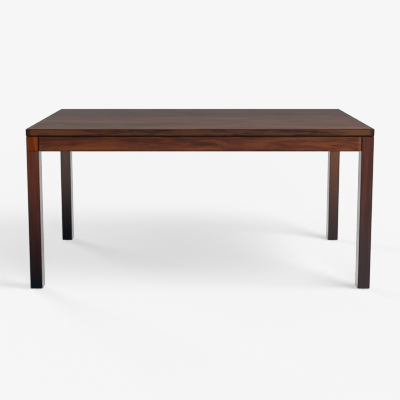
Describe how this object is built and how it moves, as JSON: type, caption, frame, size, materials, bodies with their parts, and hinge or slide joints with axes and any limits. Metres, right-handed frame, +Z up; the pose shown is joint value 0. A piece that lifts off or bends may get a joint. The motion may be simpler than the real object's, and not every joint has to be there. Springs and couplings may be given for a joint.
{
  "type": "dining table",
  "caption": "Rectangular dining table with square legs flush with the edge of a thick eased-edge top, flush aprons and levelling feet, in dark stained wood.",
  "frame": {"origin": "on the floor under the middle of the table top", "axes": "+X along the table to the right as seen from the front, +Y from the front to the rear, +Z up"},
  "size_m": [1.6, 0.89, 0.762],
  "materials": {
    "top_wood": "dark reddish brown stain under satin lacquer, grain along the boards",
    "frame_wood": "dark reddish brown stain under satin lacquer, grain along each piece",
    "rail_wood": "same stain, sealed without lacquer",
    "plate_steel": "zinc-plated stamped sheet",
    "fastener_steel": "zinc-plated",
    "foot_nylon": "dark moulded nylon"
  },
  "bodies": {
    "table": {"top_board_1": "top_wood", "top_board_2": "top_wood", "top_board_3": "top_wood", "top_board_4": "top_wood", "top_board_5": "top_wood", "top_board_6": "top_wood", "top_board_7": "top_wood", "leg_front_left": "frame_wood", "leg_front_right": "frame_wood", "leg_rear_left": "frame_wood", "leg_rear_right": "frame_wood", "apron_front": "frame_wood", "apron_rear": "frame_wood", "apron_left": "frame_wood", "apron_right": "frame_wood", "cross_rail_left": "rail_wood", "cross_rail_right": "rail_wood", "corner_plate_front_left": "plate_steel", "corner_plate_front_right": "plate_steel", "corner_plate_rear_left": "plate_steel", "corner_plate_rear_right": "plate_steel", "top_clips": "plate_steel", "hanger_bolts": "fastener_steel", "hanger_nuts": "fastener_steel", "hanger_washers": "fastener_steel", "corner_plate_screws": "fastener_steel", "top_clip_screws": "fastener_steel", "cross_rail_screws": "fastener_steel", "foot_inserts": "fastener_steel"},
    "foot_front_left": {"foot_pad_front_left": "foot_nylon"},
    "stem_front_left": {"foot_stem_front_left": "fastener_steel"},
    "foot_front_right": {"foot_pad_front_right": "foot_nylon"},
    "stem_front_right": {"foot_stem_front_right": "fastener_steel"},
    "foot_rear_left": {"foot_pad_rear_left": "foot_nylon"},
    "stem_rear_left": {"foot_stem_rear_left": "fastener_steel"},
    "foot_rear_right": {"foot_pad_rear_right": "foot_nylon"},
    "stem_rear_right": {"foot_stem_rear_right": "fastener_steel"}
  },
  "joints": [
    {"name": "foot_front_left_level", "type": "slide", "parent": "table", "child": "foot_front_left", "axis": [0, 0, -1], "range_m": [0, 0.012]},
    {"name": "stem_front_left_turn", "type": "hinge", "parent": "foot_front_left", "child": "stem_front_left", "pos_m": [-0.771, -0.416, 0.02], "axis": [0, 0, -1], "range_deg": [0, 3460]},
    {"name": "foot_front_right_level", "type": "slide", "parent": "table", "child": "foot_front_right", "axis": [0, 0, -1], "range_m": [0, 0.012]},
    {"name": "stem_front_right_turn", "type": "hinge", "parent": "foot_front_right", "child": "stem_front_right", "pos_m": [0.771, -0.416, 0.02], "axis": [0, 0, -1], "range_deg": [0, 3460]},
    {"name": "foot_rear_left_level", "type": "slide", "parent": "table", "child": "foot_rear_left", "axis": [0, 0, -1], "range_m": [0, 0.012]},
    {"name": "stem_rear_left_turn", "type": "hinge", "parent": "foot_rear_left", "child": "stem_rear_left", "pos_m": [-0.771, 0.416, 0.02], "axis": [0, 0, -1], "range_deg": [0, 3460]},
    {"name": "foot_rear_right_level", "type": "slide", "parent": "table", "child": "foot_rear_right", "axis": [0, 0, -1], "range_m": [0, 0.012]},
    {"name": "stem_rear_right_turn", "type": "hinge", "parent": "foot_rear_right", "child": "stem_rear_right", "pos_m": [0.771, 0.416, 0.02], "axis": [0, 0, -1], "range_deg": [0, 3460]}
  ],
  "couplings": [
    {"joint": "stem_front_left_turn", "follows": "foot_front_left_level", "rad_per_m": 5026.5},
    {"joint": "stem_front_right_turn", "follows": "foot_front_right_level", "rad_per_m": 5026.5},
    {"joint": "stem_rear_left_turn", "follows": "foot_rear_left_level", "rad_per_m": 5026.5},
    {"joint": "stem_rear_right_turn", "follows": "foot_rear_right_level", "rad_per_m": 5026.5}
  ]
}
